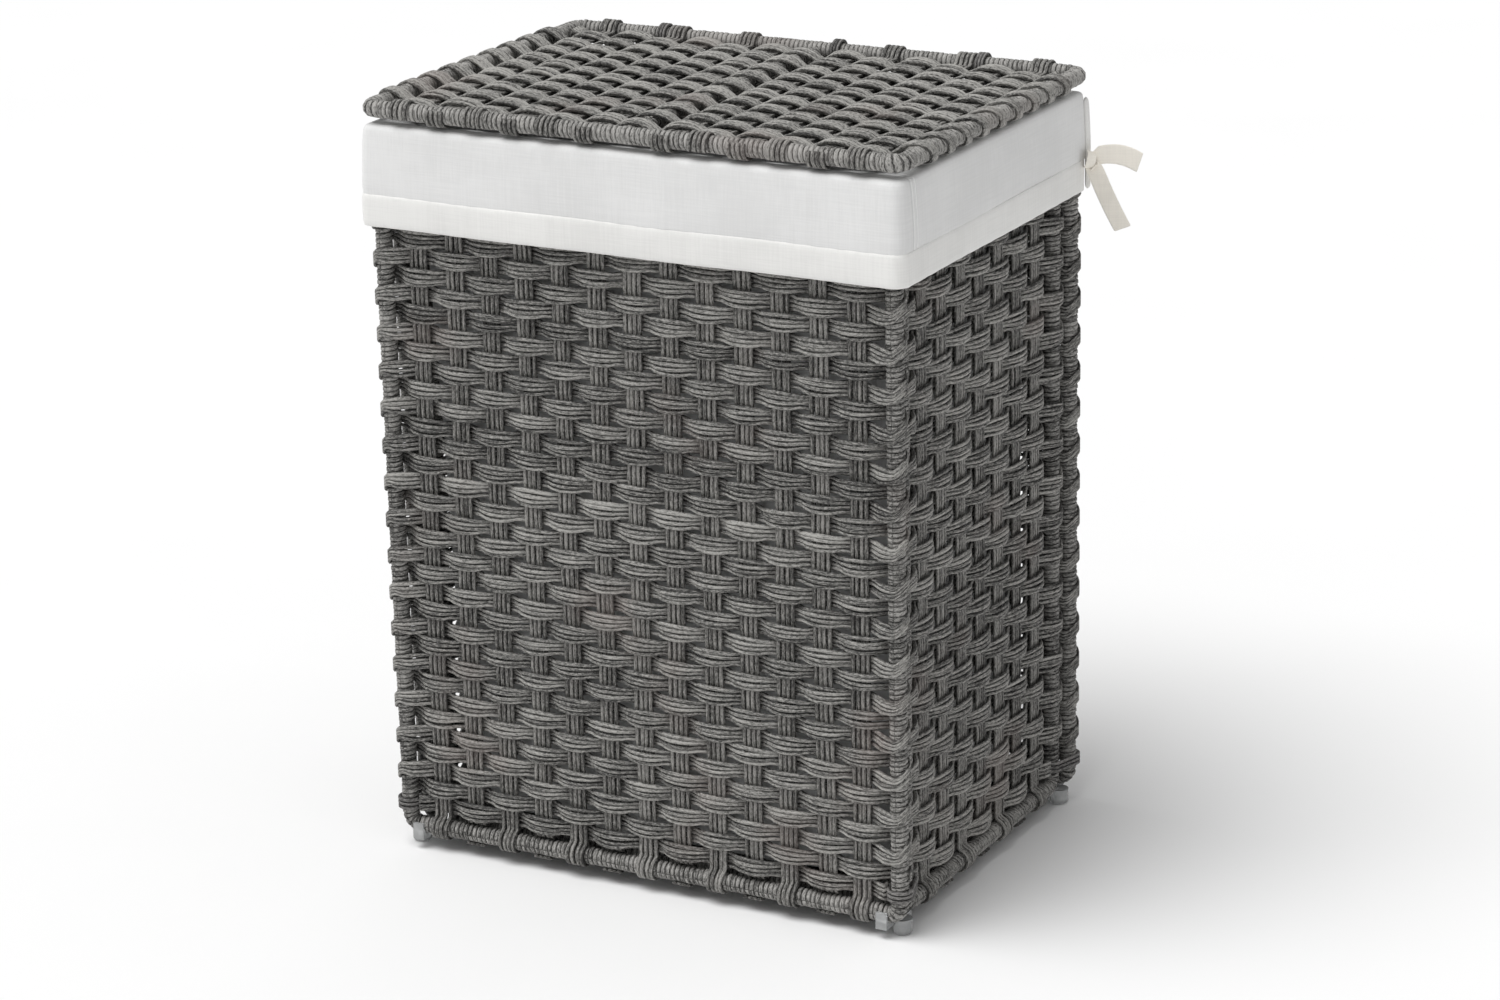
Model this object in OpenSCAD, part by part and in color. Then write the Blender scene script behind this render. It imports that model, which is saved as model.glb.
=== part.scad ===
// Woven laundry hamper with a hinged lid and a cloth liner.
// Five woven panels are tied into a box that stands on four clip feet.
// X runs along the front, Y to the back, Z up. Sizes are in millimetres.

/* [Overall] */
// width of the lid, over the weave that loops round its rim
lid_width = 460; // [360:5:560]
// depth of the lid, front to back
lid_depth = 330; // [270:5:420]
// height from the floor to the top of the lid
total_height = 600; // [420:5:720]

/* [Body] */
// width of the body, over the weave that loops round its posts
body_width = 446; // [340:2:540]
// depth of the body
body_depth = 322; // [260:2:400]
// how far each side panel stands in from the ends of the front panel
side_inset = 6; // [2:1:14]
// gap, front to back, between the weave of neighbouring posts
corner_gap = 0.2; // [0.1:0.1:6]
// clear height under the lowest weave
foot_height = 8.5; // [6:0.5:20]
// gap between the top of the cuff and the weave of the lid
lid_gap = 1; // [0.6:0.1:4]
// gap between the cloth and the rails that it passes over
cloth_gap = 0.3; // [0.2:0.1:2]

/* [Frame] */
// diameter of the steel wire inside every edge
wire_d = 5; // [4:0.5:7]
// diameter over the strand that is wound on the wire
wrap_d = 14; // [11:0.5:18]
// bend of the wire at the corners, on its middle line
bend_r = 9; // [9:0.5:20]

/* [Weave] */
// thickness of a flat strand band
band_t = 2.4; // [1.8:0.1:4]
// width of an upright stake
stake_w = 16; // [10:0.5:20]
// height of one woven row, as near as a whole number of rows allows
row_target = 14.65; // [12:0.05:20]
// gap between one row and the next
row_gap = 0.4; // [0.3:0.1:1.5]
// clearance between crossing bands
cross_gap = 0.15; // [0.1:0.05:0.5]
// clearance between a loop and the wound edge inside it
loop_gap = 0.3; // [0.2:0.05:0.8]
// free space between a rail and the first row
rail_gap = 4; // [3.8:0.1:6]
// free space between the lid's rear rail and its first row
hinge_gap = 6; // [5.5:0.1:9]
// stakes in the front and the back panel
long_stakes = 13; // [9:2:15]
// stakes in each side panel
short_stakes = 7; // [5:2:9]

/* [Hinge loops] */
// width of a loop that ties the lid to the back rail
loop_w = 8; // [5:0.5:9]
// thickness of a loop
loop_t = 2.3; // [1.6:0.1:3.2]
// running clearance of the lid's rail in its loops
hinge_play = 0.35; // [0.3:0.05:0.6]

/* [Lid bar] */
// thickness of the bar across the middle of the lid
bar_d = 9; // [7:0.5:11]

/* [Corner ties] */
// height of each corner tie
tie_h = 10; // [6:0.5:11]

/* [Liner] */
// thickness of the cloth
cloth_t = 1; // [0.8:0.1:2]
// drop of the cuff below its top
cuff_drop = 78; // [50:1:140]
// depth of the casing along the cuff's lower edge
hem_h = 25; // [15:1:40]
// thickness of the casing
hem_t = 2.2; // [1.6:0.1:3]
// corner radius of the cuff, seen from above
cuff_r = 14; // [8:1:30]
// play between the casing and the weave of the body inside it
cuff_play = 1.3; // [0.6:0.1:8]
// space between the bag and the weave around it
bag_gap = 0.6; // [0.5:0.1:4]
// width of the bound edge at the back of the cuff
binding_w = 4; // [3:0.5:8]
// width of the tie ribbons
ribbon_w = 14; // [8:1:20]
// thickness of the tie ribbons
ribbon_t = 0.8; // [0.6:0.1:1.5]

/* [Feet] */
// diameter of a foot's pad
foot_d = 15; // [12:0.5:20]
// clearance of a foot on the wound edge it clips to
clip_gap = 0.1; // [0.05:0.05:0.3]

/* [Hidden] */
$fn = 64;
wr = wrap_d / 2;
loop_i = wr + loop_gap;
loop_o = loop_i + band_t;
amp = band_t + cross_gap;                        // a band's distance from the middle at a stake
bar_amp = bar_d / 2 + cross_gap + band_t / 2;
post_x = body_width / 2 - loop_o;                // posts of the front and back panels
long_y = body_depth / 2 - loop_o;                // planes of the front and back panels
side_x = post_x - side_inset;                    // planes of the side panels
side_y = long_y - 2 * loop_o - corner_gap;       // posts of the side panels
rail_z = foot_height + loop_o;                   // middle of the bottom rails
lid_z = total_height - loop_o;                   // middle plane of the lid
cuff_top = lid_z - loop_o - lid_gap;             // top of the cloth over the rails
top_z = cuff_top - cloth_t - cloth_gap - wr;     // middle of the top rails
wall_h = top_z - rail_z;
lid_x = lid_width / 2 - loop_o;
lid_y = lid_depth / 2 - loop_o;
base_x = side_x - 2 * loop_o - bag_gap - 0.4;    // posts of the base panel
base_y = long_y - 2 * loop_o - 0.6;              // rails of the base panel
bag_x = side_x - loop_o - bag_gap;
bag_y = long_y - loop_o - bag_gap;
bag_z = rail_z + loop_o + 1;
cuff_x = body_width / 2 + hem_t + cuff_play;
cuff_y = body_depth / 2 + hem_t + cuff_play;
cuff_end = long_y + 1;
hem_z = cuff_top - cuff_drop;
body_pitch = 2 * post_x / (long_stakes + 1);
lid_pitch = 2 * lid_x / (long_stakes + 1);
foot_x = (post_x + side_x) / 2;                  // a foot stands between the two posts of a corner
foot_y = (long_y + side_y) / 2;
outer_steps = [90, 60, 30, 0];

/* [Show] */
// which piece to show

/* [Hidden] */

// ---- places: each panel is made in its own plane, with +Y outwards and Z up ----
module at_front() translate([0, -long_y, rail_z]) rotate([0, 0, 180]) children();
module at_back() translate([0, long_y, rail_z]) children();
module at_right() translate([side_x, 0, rail_z]) rotate([0, 0, -90]) children();
module at_left() translate([-side_x, 0, rail_z]) rotate([0, 0, 90]) children();
module at_base() translate([0, base_y, rail_z]) rotate([90, 0, 0]) children();
module at_lid() translate([0, lid_y, lid_z]) rotate([90, 0, 0]) children();

// ---- a closed ring of round section, in the XZ plane, from z = 0 to z = h on its middle line ----
module ring(half, h, r) {
    b = bend_r;
    for (s = [-1, 1]) translate([s * half, 0, b]) cylinder(r = r, h = h - 2 * b);
    for (z = [0, h]) translate([b - half, 0, z]) rotate([0, 90, 0]) cylinder(r = r, h = 2 * (half - b));
    for (sx = [0, 1], sz = [0, 1]) mirror([sx, 0, 0])
        translate([half - b, 0, sz == 0 ? b : h - b]) mirror([0, 0, sz])
            rotate([-90, 0, 0]) rotate_extrude(angle = 90) translate([b, 0]) circle(r = r);
}
module wire_ring(half, h) ring(half, h, wire_d / 2);
module wound_ring(half, h) difference() { ring(half, h, wr); ring(half, h, wire_d / 2); }

// ---- woven rows ----
function stake_at(i, n, half) = -half + i * 2 * half / (n + 1);
function side_of(i, r) = (i + r) % 2 == 0 ? 1 : -1;
function has_bar(i, n, bar) = bar && i == (n + 1) / 2;
function stake_amp(i, n, bar) = has_bar(i, n, bar) ? bar_amp : amp;
function stake_flat(i, n, bar) = has_bar(i, n, bar) ? bar_d / 2 + 1 : stake_w / 2 + 1;
function post_amp() = loop_i + band_t / 2;
post_flat = 4.5;
// where the slanting band crosses the panel's plane beside an end post
function cross_x(n, half) = half - post_flat - (2 * half / (n + 1) - post_flat - stake_w / 2 - 1)
    * post_amp() / (post_amp() + amp);
// middle line of a row: between the end posts, or a short one that stops at the crossings
function row_line(r, n, half, bar, short) = concat(
    short ? [[-cross_x(n, half) - 1, 0], [-cross_x(n, half) + 1, 0]]
        : [[-half, side_of(0, r) * post_amp()], [-half + post_flat, side_of(0, r) * post_amp()]],
    [for (i = [1:n], k = [-1, 1])
        [stake_at(i, n, half) + k * stake_flat(i, n, bar), side_of(i, r) * stake_amp(i, n, bar)]],
    short ? [[cross_x(n, half) - 1, 0], [cross_x(n, half) + 1, 0]]
        : [[half - post_flat, side_of(n + 1, r) * post_amp()], [half, side_of(n + 1, r) * post_amp()]]);
function back_to_front(p) = [for (i = [len(p) - 1:-1:0]) p[i]];
module band(line) polygon(concat([for (p = line) [p[0], p[1] - band_t / 2]],
    back_to_front([for (p = line) [p[0], p[1] + band_t / 2]])));
// part of a many-sided loop round a post at the origin, opening from +Y to +X
module loop_part(steps) polygon(concat(
    [for (a = steps) loop_o * [cos(a), sin(a)]],
    back_to_front([for (a = steps) loop_i / cos(15) * [cos(a), sin(a)]])));
module row(r, n, half, bar, short) {
    band(row_line(r, n, half, bar, short));
    if (!short) for (k = [-1, 1]) {
        s = side_of(k < 0 ? 0 : n + 1, r);
        translate([k * half, 0]) mirror([k < 0 ? 1 : 0, 0]) mirror([0, s < 0 ? 1 : 0]) loop_part(outer_steps);
    }
}
module weave(half, h, n, lo, hi, bar = false) {
    z0 = wr + lo;
    space = h - 2 * wr - lo - hi;
    rows = round(space / row_target);
    pitch = space / rows;
    for (r = [0:rows - 1]) translate([0, 0, z0 + r * pitch])
        linear_extrude(height = pitch - row_gap) row(r, n, half, bar, r == 0 || r == rows - 1);
    for (r = [1:rows - 3]) {
        k = r % 2 == 1 ? 1 : -1;
        translate([k * half, 0, z0 + r * pitch]) linear_extrude(height = 2 * pitch - row_gap)
            mirror([k < 0 ? 1 : 0, 0]) loop_part([30, 0, -30]);
    }
    for (r = [0, rows - 2]) {
        k = r == 0 ? -1 : (rows % 2 == 0 ? -1 : 1);
        translate([k * (cross_x(n, half) - 0.7) - 1.7, -band_t / 2 + 0.2, z0 + r * pitch])
            cube([3.4, band_t - 0.4, 2 * pitch - row_gap]);
    }
}

// ---- upright stakes; each wraps round its lower rail, by turns in front and behind ----
module hook() difference() {
    circle(r = loop_o);
    circle(r = loop_i);
    translate([-band_t / 2 - 2 * loop_o, -2 * loop_o]) square([2 * loop_o, 4 * loop_o]);
}
module stake(h, front, hooks_hi) {
    f = front ? 0 : 1;
    translate([-stake_w / 2, 0, 0]) rotate([90, 0, 90]) linear_extrude(height = stake_w) {
        mirror([f, 0]) hook();
        translate([-band_t / 2, loop_i]) square([band_t, h - loop_i - (hooks_hi ? loop_i : wr + 0.05)]);
        if (hooks_hi) translate([0, h]) mirror([0, 1]) mirror([f, 0]) hook();
    }
}
module stakes(half, h, n, hooks_hi, bar = false)
    for (i = [1:n]) if (!has_bar(i, n, bar))
        translate([stake_at(i, n, half), 0, 0]) stake(h, i % 2 == 1, hooks_hi);

// ---- a long round loop of square section round two parallel edges, from a to b in plan ----
module tie_outline(len, r) {
    circle(r = r);
    translate([len, 0]) circle(r = r);
    translate([0, -r]) square([len, 2 * r]);
}
module tie(a, b, ri, t, h) {
    d = b - a;
    translate([a[0], a[1], 0]) rotate([0, 0, atan2(d[1], d[0])]) linear_extrude(height = h)
        difference() { tie_outline(norm(d), ri + t); tie_outline(norm(d), ri); }
}

// ---- panels ----
module frame_front() color("dimgray") at_front() wire_ring(post_x, wall_h);
module frame_back() color("dimgray") at_back() wire_ring(post_x, wall_h);
module frame_left() color("dimgray") at_left() wire_ring(side_y, wall_h);
module frame_right() color("dimgray") at_right() wire_ring(side_y, wall_h);
module frame_base() color("dimgray") at_base() wire_ring(base_x, 2 * base_y);
module frame_lid() color("dimgray") at_lid() wire_ring(lid_x, 2 * lid_y);

// the bar's wire runs through the lid's wound edge
module edge_front() color("darkgray") at_front() wound_ring(post_x, wall_h);
module edge_back() color("darkgray") at_back() wound_ring(post_x, wall_h);
module edge_left() color("darkgray") at_left() wound_ring(side_y, wall_h);
module edge_right() color("darkgray") at_right() wound_ring(side_y, wall_h);
module edge_base() color("darkgray") at_base() wound_ring(base_x, 2 * base_y);
module edge_lid() color("darkgray") at_lid() difference() {
    wound_ring(lid_x, 2 * lid_y);
    cylinder(r = wire_d / 2, h = 2 * lid_y);
}

module stakes_front() color("slategray") at_front() stakes(post_x, wall_h, long_stakes, false);
module stakes_back() color("slategray") at_back() stakes(post_x, wall_h, long_stakes, false);
module stakes_left() color("slategray") at_left() stakes(side_y, wall_h, short_stakes, false);
module stakes_right() color("slategray") at_right() stakes(side_y, wall_h, short_stakes, false);
module stakes_base() color("slategray") at_base() stakes(base_x, 2 * base_y, long_stakes - 2, true);
module stakes_lid() color("slategray") at_lid() stakes(lid_x, 2 * lid_y, long_stakes, true, true);

module weave_front() color("gray") at_front() weave(post_x, wall_h, long_stakes, rail_gap, rail_gap);
module weave_back() color("gray") at_back() weave(post_x, wall_h, long_stakes, rail_gap, rail_gap);
module weave_left() color("gray") at_left() weave(side_y, wall_h, short_stakes, rail_gap, rail_gap);
module weave_right() color("gray") at_right() weave(side_y, wall_h, short_stakes, rail_gap, rail_gap);
module weave_base() color("gray") at_base() weave(base_x, 2 * base_y, long_stakes - 2, rail_gap, rail_gap);
module weave_lid() color("gray") at_lid() weave(lid_x, 2 * lid_y, long_stakes, hinge_gap, rail_gap, true);

// ---- bar across the middle of the lid ----
module lid_bar_wire() color("dimgray") at_lid() difference() {
    cylinder(r = wire_d / 2, h = 2 * lid_y);
    wire_ring(lid_x, 2 * lid_y);
    for (z = [0, 2 * lid_y]) translate([-wire_d, -wire_d, z - wire_d]) cube(2 * wire_d);
}
module lid_bar_wrap() color("darkgray") at_lid() difference() {
    translate([0, 0, wr - 1]) cylinder(r = bar_d / 2, h = 2 * lid_y - 2 * wr + 2);
    cylinder(r = wire_d / 2, h = 2 * lid_y);
    ring(lid_x, 2 * lid_y, wr + 0.05);
}

// ---- corner ties: one low and one high, round both posts of a corner ----
module corner_ties(sx, sy) color("black")
    for (z = [rail_z + wr + rail_gap + 1.5, top_z - wr - rail_gap - 1.5 - tie_h]) translate([0, 0, z])
        tie([sx * post_x, sy * long_y], [sx * side_x, sy * side_y], wr + 0.2, loop_t, tie_h);
module corner_ties_front_left() corner_ties(-1, -1);
module corner_ties_front_right() corner_ties(1, -1);
module corner_ties_back_left() corner_ties(-1, 1);
module corner_ties_back_right() corner_ties(1, 1);

// ---- lid loops: round the back rail and the lid's rear rail, which turns in them ----
// each loop goes where the stakes of the back and of the lid leave the most room beside it
function beside(x, pitch) = min(x - floor(x / pitch) * pitch, ceil(x / pitch) * pitch - x) - stake_w / 2;
function room(x) = min(beside(x, body_pitch), beside(x, lid_pitch));
function roomiest(xs) = let(most = max([for (x = xs) room(x)]))
    [for (x = xs) if (room(x) > most - 0.01) x][0];
loop_far = roomiest([for (k = [0.55:0.0025:0.8]) k * min(post_x, lid_x)]);
loop_near = roomiest([for (k = [0.1:0.0125:2]) k * body_pitch]);
module lid_loop(x) color("black") translate([x - loop_w / 2, 0, 0]) rotate([90, 0, 90])
    tie([long_y, top_z + hinge_play - 0.05], [lid_y, lid_z], wr + hinge_play, loop_t, loop_w);
module lid_loop_left() lid_loop(-loop_far);
module lid_loop_middle() lid_loop(loop_near);
module lid_loop_right() lid_loop(loop_far);

// ---- clip feet: a pad between two posts, a clip round the long rail and a rest for the base ----
module foot(sx, sy) color("white") mirror([sx < 0 ? 1 : 0, 0]) mirror([0, sy < 0 ? 1 : 0]) difference() {
    union() {
        translate([foot_x, foot_y, 0]) rotate_extrude() {
            square([foot_d / 2 - 2.5, rail_z - wr + 1]);
            translate([0, 2.5]) square([foot_d / 2, rail_z - wr - 1.5]);
            translate([foot_d / 2 - 2.5, 2.5]) circle(r = 2.5);
        }
        translate([post_x - bend_r - 7, long_y - wr - 2.2, rail_z - wr - 3]) cube([9, 2 * wr + 4.4, wr + 6]);
        translate([base_x - 4, base_y - 5, rail_z - wr - 3])
            cube([foot_x - base_x + 4, foot_y - base_y + 5, 4.5]);
    }
    translate([side_x, 0, rail_z]) rotate([0, 0, -90]) ring(side_y, wall_h, wr + clip_gap);
    translate([0, long_y, rail_z]) ring(post_x, wall_h, wr + clip_gap);
    at_base() ring(base_x, 2 * base_y, wr + clip_gap);
}
module foot_front_left() foot(-1, -1);
module foot_front_right() foot(1, -1);
module foot_back_left() foot(-1, 1);
module foot_back_right() foot(1, 1);

// ---- liner ----
module round_rect(x, y, r) {
    square([2 * x, 2 * (y - r)], center = true);
    square([2 * (x - r), 2 * y], center = true);
    for (sx = [-1, 1], sy = [-1, 1]) translate([sx * (x - r), sy * (y - r)]) circle(r = r);
}
module liner_bag() color("ivory") difference() {
    translate([0, 0, bag_z]) linear_extrude(height = cuff_top - cloth_t - bag_z) round_rect(bag_x, bag_y, 20);
    translate([0, 0, bag_z + cloth_t]) linear_extrude(height = total_height)
        round_rect(bag_x - cloth_t, bag_y - cloth_t, 20 - cloth_t);
}
module cuff_wall(z, h, t) difference() {
    translate([0, 0, z]) linear_extrude(height = h) difference() {
        round_rect(cuff_x, cuff_y, cuff_r);
        round_rect(cuff_x - t, cuff_y - t, cuff_r - t);
    }
    translate([-lid_width, cuff_end, z - 1]) cube([2 * lid_width, lid_depth, h + 2]);
}
module liner_cuff() color("white") {
    cuff_wall(hem_z + hem_h, cuff_drop - hem_h, cloth_t);
    translate([0, 0, cuff_top - cloth_t]) linear_extrude(height = cloth_t) difference() {
        round_rect(cuff_x, cuff_y, cuff_r);
        round_rect(bag_x - cloth_t, bag_y - cloth_t, 20 - cloth_t);
        translate([-lid_width, cuff_end]) square([2 * lid_width, lid_depth]);
        translate([-bag_x + cloth_t, 0]) square([2 * (bag_x - cloth_t), lid_depth]);
    }
}
module liner_hem() color("beige") cuff_wall(hem_z, hem_h, hem_t);
module binding(s) color("beige")
    translate([s > 0 ? cuff_x - hem_t - 0.3 : -cuff_x, cuff_end, hem_z])
        cube([hem_t + 0.3, binding_w, cuff_drop - 0.5]);
module binding_left() binding(-1);
module binding_right() binding(1);

// ---- ribbons: a flat knot against the casing and two tails that hang from it ----
module ribbon(s) color("beige") mirror([s > 0 ? 0 : 1, 0, 0])
    translate([cuff_x + 0.1, cuff_end - 5, hem_z + hem_h]) {
        rotate([0, 90, 0]) cylinder(d = ribbon_w - 1, h = 7);
        translate([4, -ribbon_t, 5]) rotate([0, 12, 28]) translate([0, 0, -ribbon_w])
            cube([30, ribbon_t, ribbon_w]);
        translate([2 + ribbon_w / 2, 1, -2]) rotate([0, -20, 28]) translate([-ribbon_w / 2, 0, -48])
            cube([ribbon_w, ribbon_t, 48]);
    }
module ribbon_left() ribbon(-1);
module ribbon_right() ribbon(1);

frame_front();
frame_back();
frame_left();
frame_right();
frame_base();
frame_lid();
edge_front();
edge_back();
edge_left();
edge_right();
edge_base();
edge_lid();
stakes_front();
stakes_back();
stakes_left();
stakes_right();
stakes_base();
stakes_lid();
weave_front();
weave_back();
weave_left();
weave_right();
weave_base();
weave_lid();
lid_bar_wire();
lid_bar_wrap();
corner_ties_front_left();
corner_ties_front_right();
corner_ties_back_left();
corner_ties_back_right();
lid_loop_left();
lid_loop_middle();
lid_loop_right();
foot_front_left();
foot_front_right();
foot_back_left();
foot_back_right();
liner_bag();
liner_cuff();
liner_hem();
binding_left();
binding_right();
ribbon_left();
ribbon_right();
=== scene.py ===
import math
import bmesh
import bpy
import numpy as np
from mathutils import Matrix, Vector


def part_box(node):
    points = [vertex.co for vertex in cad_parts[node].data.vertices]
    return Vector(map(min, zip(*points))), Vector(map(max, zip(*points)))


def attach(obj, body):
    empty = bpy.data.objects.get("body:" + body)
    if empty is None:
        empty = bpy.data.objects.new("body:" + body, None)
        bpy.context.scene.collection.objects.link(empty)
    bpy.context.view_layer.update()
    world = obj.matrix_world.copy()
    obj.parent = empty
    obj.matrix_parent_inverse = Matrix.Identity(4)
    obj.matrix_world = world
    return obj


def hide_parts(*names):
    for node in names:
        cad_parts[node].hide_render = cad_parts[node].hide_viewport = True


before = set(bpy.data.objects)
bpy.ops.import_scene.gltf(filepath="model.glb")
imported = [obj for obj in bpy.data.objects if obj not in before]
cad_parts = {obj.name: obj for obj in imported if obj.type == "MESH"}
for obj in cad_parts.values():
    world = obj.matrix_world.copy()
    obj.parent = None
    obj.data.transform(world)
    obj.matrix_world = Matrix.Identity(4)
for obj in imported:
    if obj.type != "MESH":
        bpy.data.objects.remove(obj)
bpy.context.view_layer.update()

MM = 0.001
X, Y, Z = np.eye(3)


# ---------------------------------------------------------------- camera
TURN, RISE, ROLL = 28.44, 18.21, -1.19     # degrees: round the hamper, above it, and about the line of sight
AIM = np.array([12.2, 0, 268.9]) * MM      # the point that the camera looks at
DISTANCE = 3.322
LENS, SENSOR = 103.27, 36                  # both in mm


def camera():
    turn, rise, roll = (math.radians(a) for a in (TURN, RISE, ROLL))
    back = np.array([math.sin(turn) * math.cos(rise), -math.cos(turn) * math.cos(rise), math.sin(rise)])
    level = np.cross(-back, Z)
    level /= np.linalg.norm(level)
    upright = np.cross(level, -back)
    right = level * math.cos(roll) + upright * math.sin(roll)
    up = upright * math.cos(roll) - level * math.sin(roll)
    data = bpy.data.cameras.new("camera")
    data.lens, data.sensor_width = LENS, SENSOR
    data.clip_start, data.clip_end = 0.1, 30
    cam = bpy.data.objects.new("camera", data)
    bpy.context.scene.collection.objects.link(cam)
    place = np.eye(4)
    place[:3, :3] = np.stack([right, up, back], 1)
    place[:3, 3] = AIM + back * DISTANCE
    cam.matrix_world = Matrix(place.tolist())
    bpy.context.scene.camera = cam


camera()


# ---------------------------------------------------------------- materials
class Val:
    """A shader value; + - * / make the maths nodes."""

    def __init__(self, look, socket):
        self.look, self.socket = look, socket

    def _do(self, op, *others):
        return self.look.maths(op, self, *others)

    def __add__(self, o): return self._do("ADD", o)
    def __radd__(self, o): return self._do("ADD", o)
    def __sub__(self, o): return self._do("SUBTRACT", o)
    def __rsub__(self, o): return self.look.maths("SUBTRACT", o, self)
    def __mul__(self, o): return self._do("MULTIPLY", o)
    def __rmul__(self, o): return self._do("MULTIPLY", o)
    def __truediv__(self, o): return self._do("DIVIDE", o)
    def sin(self): return self._do("SINE")
    def abs(self): return self._do("ABSOLUTE")
    def more(self, o): return self._do("GREATER_THAN", o)
    def most(self, o): return self._do("MAXIMUM", o)
    def least(self, o): return self._do("MINIMUM", o)
    def unit(self): return self.most(0.0).least(1.0)

    def smooth(self, a, b):
        """0 below a, 1 above b and a soft step between."""
        t = ((self - a) / (b - a)).unit()
        return t * t * (3.0 - 2.0 * t)


class Look:
    """One material and its nodes."""

    def __init__(self, name):
        self.mat = bpy.data.materials.new(name)
        self.mat.use_nodes = True
        self.tree = self.mat.node_tree
        self.tree.nodes.clear()
        self.out = self.tree.nodes.new("ShaderNodeOutputMaterial")
        self.skin = self.tree.nodes.new("ShaderNodeBsdfPrincipled")
        self.tree.links.new(self.skin.outputs[0], self.out.inputs[0])

    def node(self, kind, inputs=None, stops=(), **settings):
        n = self.tree.nodes.new("ShaderNode" + kind)
        for k, v in settings.items():
            setattr(n, k, v)
        for i, (position, colour) in enumerate(stops):
            elements = n.color_ramp.elements
            e = elements[i] if i < 2 else elements.new(position)
            e.position, e.color = position, (*colour, 1)
        for k, v in (inputs or {}).items():
            self.put(n.inputs[k], v)
        return n

    def put(self, socket, v):
        if isinstance(v, Val):
            self.tree.links.new(v.socket, socket)
        elif v is not None:
            socket.default_value = v

    def val(self, n, out=0):
        return Val(self, n.outputs[out])

    def maths(self, op, *args):
        return self.val(self.node("Math", dict(enumerate(args)), operation=op))

    def attribute(self, name, out="Fac"):
        return self.val(self.node("Attribute", attribute_name=name), out)

    def place(self):
        return self.val(self.node("TexCoord"), "Object")

    def split(self, v):
        n = self.node("SeparateXYZ", {0: v})
        return [self.val(n, i) for i in range(3)]

    def join(self, x, y, z):
        return self.val(self.node("CombineXYZ", {0: x, 1: y, 2: z}))

    def noise(self, at, scale=1.0, detail=2.0, rough=0.5):
        inputs = {"Vector": at, "Scale": scale, "Detail": detail, "Roughness": rough}
        return self.val(self.node("TexNoise", inputs), "Fac")

    def ramp(self, fac, stops):
        return self.val(self.node("ValToRGB", {"Fac": fac}, stops))

    def mix(self, fac, a, b):
        n = self.node("Mix", data_type="RGBA")
        for k, v in ((0, fac), (6, a), (7, b)):
            self.put(n.inputs[k], (*v, 1) if isinstance(v, tuple) and len(v) == 3 else v)
        return self.val(n, 2)

    def bump(self, height, distance, strength=1.0):
        n = self.node("Bump", {"Height": height, "Distance": distance, "Strength": strength})
        self.tree.links.new(n.outputs[0], self.skin.inputs["Normal"])

    def set(self, **values):
        for k, v in values.items():
            self.put(self.skin.inputs[k.replace("_", " ")], v)
        return self


HALF_W, HALF_T = 0.0018, 0.0015     # what "strand" holds at a strand's side and at its crown


def strand_look(name, dark, light):
    """Matt synthetic strand with fibres along it, painted darker along its sides as painted shade between
    strands. "strand" is the place along, across and through it, and "tone" is how light this strand is:
    random, and raised on the lid as painted light."""
    k = Look(name)
    along, across, through = k.split(k.attribute("strand", "Vector"))
    tone = k.attribute("tone")
    lines = k.noise(k.join(along * 45.0, across * 1300.0, through * 1300.0), 1.0, 2.0, 0.6)
    grain = k.noise(k.join(along * 420.0, across * 1100.0, through * 1100.0), 1.0, 2.0, 0.6)
    fine = k.noise(k.join(along * 1000.0, across * 3500.0, through * 3500.0), 1.0, 2.0, 0.6)
    patch = k.noise(k.place(), 7.0, 2.0)
    warm = k.noise(k.place(), 9.0, 2.0).smooth(0.56, 0.74)
    crown = (through.abs() / HALF_T).smooth(0.0, 1.0)     # 0 along a strand's sides, 1 on its crown; the sides come out darker as painted shade where strands meet
    # crown * 0.42 lifts the crown and leaves each strand's sides darker: painted shade in the gaps between
    # strands
    level = (tone * 0.5 + (lines - 0.5) * 1.6 + (grain - 0.5) * 2.4 + (fine - 0.5) * 1.8
             + (patch - 0.5) * 0.5 + crown * 0.42 - 0.08).unit()
    middle = tuple(p * 0.5 + q * 0.38 for p, q in zip(dark, light))
    grey = k.ramp(level, [(0.0, dark), (1.0, light), (0.45, middle)])
    brown = tuple(c * f for c, f in zip(light, (0.62, 0.5, 0.48)))
    k.set(Base_Color=k.mix(warm * 0.3, grey, brown), Roughness=0.55 + 0.25 * lines, IOR=1.46)
    k.bump(lines * 0.45 + grain * 0.35 + fine * 0.2, 0.0012, 1.0)
    return k.mat


WEAVE = strand_look("woven strand", (0.022, 0.021, 0.020), (0.44, 0.43, 0.405))
STAKE = strand_look("stake strand", (0.026, 0.025, 0.023), (0.37, 0.36, 0.34))
WOUND = strand_look("wound strand", (0.028, 0.027, 0.025), (0.42, 0.41, 0.39))
TIE = strand_look("tie strand", (0.022, 0.021, 0.020), (0.30, 0.29, 0.28))


RIDGE_OUT = 0.0026      # each of a double seam's two ridges lies this far from its middle
LINE_OUT = 0.0052       # the thin shadow line in front of them


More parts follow.
